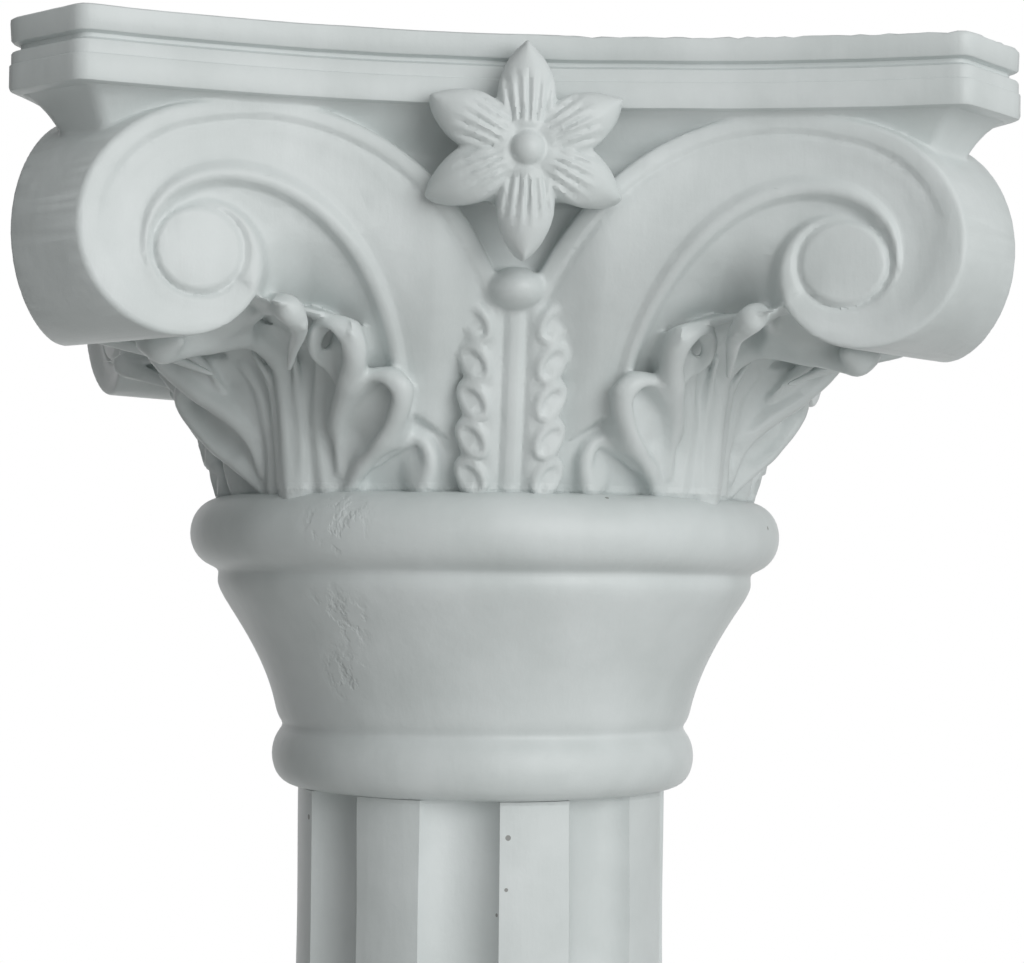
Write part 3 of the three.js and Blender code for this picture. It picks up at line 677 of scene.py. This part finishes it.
def plaster():
    material = bpy.data.materials.new("plaster")
    material.use_nodes = True
    nodes, links = material.node_tree.nodes, material.node_tree.links
    shader = nodes["Principled BSDF"]
    shader.inputs["Roughness"].default_value = 0.42
    shader.inputs["Specular IOR Level"].default_value = 0.42
    place = nodes.new("ShaderNodeTexCoord").outputs["Object"]

    def noise(scale, detail, stretch=(1, 1, 1), rough=0.5):
        fit = nodes.new("ShaderNodeMapping")
        fit.inputs["Scale"].default_value = stretch
        links.new(place, fit.inputs["Vector"])
        node = nodes.new("ShaderNodeTexNoise")
        node.inputs["Scale"].default_value = scale
        node.inputs["Detail"].default_value = detail
        node.inputs["Roughness"].default_value = rough
        links.new(fit.outputs["Vector"], node.inputs["Vector"])
        return node.outputs["Fac"]

    def math_node(kind, a, b=None, c=None):
        node = nodes.new("ShaderNodeMath")
        node.operation = kind
        for socket, value in zip(node.inputs, (a, b, c)):
            if value is None:
                continue
            if isinstance(value, (int, float)):
                socket.default_value = value
            else:
                links.new(value, socket)
        return node.outputs[0]

    def ramp(value, low, high, to_low=0.0, to_high=1.0):
        node = nodes.new("ShaderNodeMapRange")
        node.inputs["From Min"].default_value = low
        node.inputs["From Max"].default_value = high
        node.inputs["To Min"].default_value = to_low
        node.inputs["To Max"].default_value = to_high
        links.new(value, node.inputs["Value"])
        return node.outputs["Result"]

    colour = nodes.new("ShaderNodeMix")
    colour.data_type = "RGBA"
    colour.inputs["A"].default_value = PAINT_DARK
    colour.inputs["B"].default_value = PAINT_LIGHT
    links.new(ramp(noise(28, 5), 0.35, 0.65), colour.inputs["Factor"])

    holes = nodes.new("ShaderNodeTexVoronoi")
    holes.inputs["Scale"].default_value = 62
    links.new(place, holes.inputs["Vector"])
    chosen = nodes.new("ShaderNodeSeparateColor")
    links.new(holes.outputs["Color"], chosen.inputs["Color"])
    few = math_node("GREATER_THAN", chosen.outputs["Red"], 0.965)
    wide = math_node("MULTIPLY_ADD", chosen.outputs["Green"], 0.025, 0.025)
    pit = math_node("MULTIPLY", math_node("LESS_THAN", holes.outputs["Distance"], wide), few)

    def away(x, y, height):
        node = nodes.new("ShaderNodeVectorMath")
        node.operation = "DISTANCE"
        links.new(place, node.inputs[0])
        node.inputs[1].default_value = (x / 1000, y / 1000, (height + CAPITAL_BED) / 1000)
        return node.outputs["Value"]

    for x, y, height, size in HOLES:
        pit = math_node("MAXIMUM", pit, math_node("LESS_THAN", away(x, y, height), size / 1000))
    flakes = ramp(noise(150, 4, (1, 1, 0.6), 0.6), 0.5, 0.64)
    worn = None
    for x, y, height, size in SCRAPES:
        here = ramp(away(x, y, height), size / 1000, size / 2500)
        worn = here if worn is None else math_node("MAXIMUM", worn, here)
    lifted = nodes.new("ShaderNodeSeparateXYZ")
    links.new(place, lifted.inputs["Vector"])
    filler = None
    for height, half in JOINTS:
        above = math_node("SUBTRACT", lifted.outputs["Z"], (height + CAPITAL_BED) / 1000)
        off = math_node("ABSOLUTE", above)
        here = ramp(off, half / 1000, 0.0)
        filler = here if filler is None else math_node("MAXIMUM", filler, here)
    # The casting holes are coloured near-black: painted shade in place of the shadow inside the holes
    hole_shade = nodes.new("ShaderNodeMix")
    hole_shade.data_type = "RGBA"
    hole_shade.inputs["B"].default_value = HOLE_SHADE
    links.new(colour.outputs["Result"], hole_shade.inputs["A"])
    links.new(math_node("MULTIPLY", pit, 0.75), hole_shade.inputs["Factor"])
    links.new(hole_shade.outputs["Result"], shader.inputs["Base Color"])

    # Relief in metres
    grain = math_node("MULTIPLY", noise(900, 3), 0.00004)
    brush = math_node("MULTIPLY", noise(260, 4, (1, 1, 0.18)), 0.00013)
    swell = math_node("MULTIPLY", noise(46, 3), 0.0006)
    height = math_node("ADD", math_node("ADD", grain, brush), swell)
    height = math_node("SUBTRACT", height, math_node("MULTIPLY", pit, 0.0006))
    flaked = math_node("MULTIPLY", math_node("MULTIPLY", flakes, worn), 0.0004)
    height = math_node("SUBTRACT", height, flaked)
    crumbs = math_node("MULTIPLY", math_node("MULTIPLY", noise(330, 3), filler), 0.0011)
    height = math_node("ADD", height, crumbs)
    bump = nodes.new("ShaderNodeBump")
    bump.inputs["Strength"].default_value = 0.8
    bump.inputs["Distance"].default_value = 1.0
    links.new(height, bump.inputs["Height"])
    links.new(bump.outputs["Normal"], shader.inputs["Normal"])
    return material


def pieces():
    finish = plaster()
    points, quads = carving()
    fine = build("capital_carving", points, quads, CAPITAL_BED, CARVING_TRIANGLES)
    parts = [fine]
    for name, (shape, faces) in (("capital_neck", neck()), ("capital_abacus", abacus())):
        parts.append(build(name, wander(shape, 22, 0.18), faces, CAPITAL_BED))
    for part in parts:
        shaded(part)
    with bpy.context.temp_override(active_object=fine, selected_editable_objects=parts, object=fine):
        bpy.ops.object.join()
    fine.name = "capital_fine"
    made = {"capital": fine}
    for name, (shape, faces), lift in (("shaft", shaft(), SHAFT_BED), ("base", base(), 0)):
        made[name] = build(name + "_fine", shape, faces, lift)
        shaded(made[name], 28)
    for node, piece in made.items():
        piece.data.materials.clear()
        piece.data.materials.append(finish)
        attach(piece, "root")
        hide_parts(node)
    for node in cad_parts.values():
        node.data.materials.clear()
        node.data.materials.append(finish)
    return made


# Studio: a pale floor, a soft light from the front right and a sky that is white behind the pedestal and
# otherwise dim to the left and below

SKY_GAIN = 0.5
SKY_LEAST = 0.11
KEY_PLACE = (1.0, -1.85, 1.15)
KEY_AIM = (0, 0, 0.75)
KEY_SIDE = 1.5
KEY_WATTS = 22


def studio():
    scene = bpy.context.scene
    scene.view_settings.view_transform = "Standard"
    bpy.ops.mesh.primitive_circle_add(vertices=96, radius=1.25, fill_type="NGON")
    floor = bpy.context.object
    floor.name = "floor"
    pale = bpy.data.materials.new("floor_paint")
    pale.use_nodes = True
    paint = pale.node_tree.nodes["Principled BSDF"]
    paint.inputs["Base Color"].default_value = (0.72, 0.72, 0.71, 1)
    paint.inputs["Roughness"].default_value = 0.8
    floor.data.materials.append(pale)

    world = bpy.data.worlds.new("sky")
    scene.world = world
    world.use_nodes = True
    nodes, links = world.node_tree.nodes, world.node_tree.links
    direction = nodes.new("ShaderNodeTexCoord").outputs["Generated"]

    def toward(vector, low, high):
        dot = nodes.new("ShaderNodeVectorMath")
        dot.operation = "DOT_PRODUCT"
        links.new(direction, dot.inputs[0])
        dot.inputs[1].default_value = Vector(vector).normalized()
        node = nodes.new("ShaderNodeMapRange")
        node.interpolation_type = "SMOOTHSTEP"
        node.inputs["From Min"].default_value = low
        node.inputs["From Max"].default_value = high
        links.new(dot.outputs["Value"], node.inputs["Value"])
        return node.outputs["Result"]

    behind = toward((0, 1, 0), 0.6, 0.9)
    lit = toward((0.5, -0.68, 0.54), -0.3, 0.95)
    level = nodes.new("ShaderNodeMath")
    level.operation = "MULTIPLY_ADD"
    links.new(lit, level.inputs[0])
    level.inputs[1].default_value = SKY_GAIN
    level.inputs[2].default_value = SKY_LEAST
    most = nodes.new("ShaderNodeMath")
    most.operation = "MAXIMUM"
    links.new(level.outputs[0], most.inputs[0])
    links.new(behind, most.inputs[1])
    links.new(most.outputs[0], nodes["Background"].inputs["Strength"])
    nodes["Background"].inputs["Color"].default_value = (1, 1, 1, 1)

    data = bpy.data.lights.new("key", "AREA")
    data.shape = "RECTANGLE"
    data.size = data.size_y = KEY_SIDE
    data.energy = KEY_WATTS
    light = bpy.data.objects.new("key", data)
    light.location = KEY_PLACE
    light.rotation_euler = (Vector(KEY_AIM) - Vector(KEY_PLACE)).to_track_quat("-Z", "Y").to_euler()
    bpy.context.collection.objects.link(light)


# Place and lens of the camera, from the fit of the capital's sizes to the photo; degrees, metres and pixels

AZIMUTH, DISTANCE, RISE = -4.538, 0.92959, 0.07973
YAW, TILT, ROLL = 0.629, 2.279, 0.595
FOCAL_PIXELS, PHOTO_WIDTH = 2405.956, 1024
SENSOR_WIDTH = 36


def rotated(a, b, degrees):
    """Two perpendicular directions, turned from the first towards the second."""
    angle = math.radians(degrees)
    return a * math.cos(angle) + b * math.sin(angle), b * math.cos(angle) - a * math.sin(angle)


def camera():
    azimuth = math.radians(AZIMUTH)
    height = (CAPITAL_BED / 1000) + RISE
    back = Vector((math.sin(azimuth), -math.cos(azimuth), 0))
    forward, right, up = -back, Vector((math.cos(azimuth), math.sin(azimuth), 0)), Vector((0, 0, 1))
    forward, right = rotated(forward, right, YAW)
    forward, up = rotated(forward, up, TILT)
    right, up = rotated(right, up, ROLL)
    data = bpy.data.cameras.new("camera")
    data.sensor_width = SENSOR_WIDTH
    data.lens = FOCAL_PIXELS / PHOTO_WIDTH * SENSOR_WIDTH
    eye = bpy.data.objects.new("camera", data)
    matrix = Matrix((right, up, -forward)).transposed().to_4x4()
    matrix.translation = back * DISTANCE + Vector((0, 0, height))
    eye.matrix_world = matrix
    bpy.context.collection.objects.link(eye)
    bpy.context.scene.camera = eye


pieces()
studio()
camera()
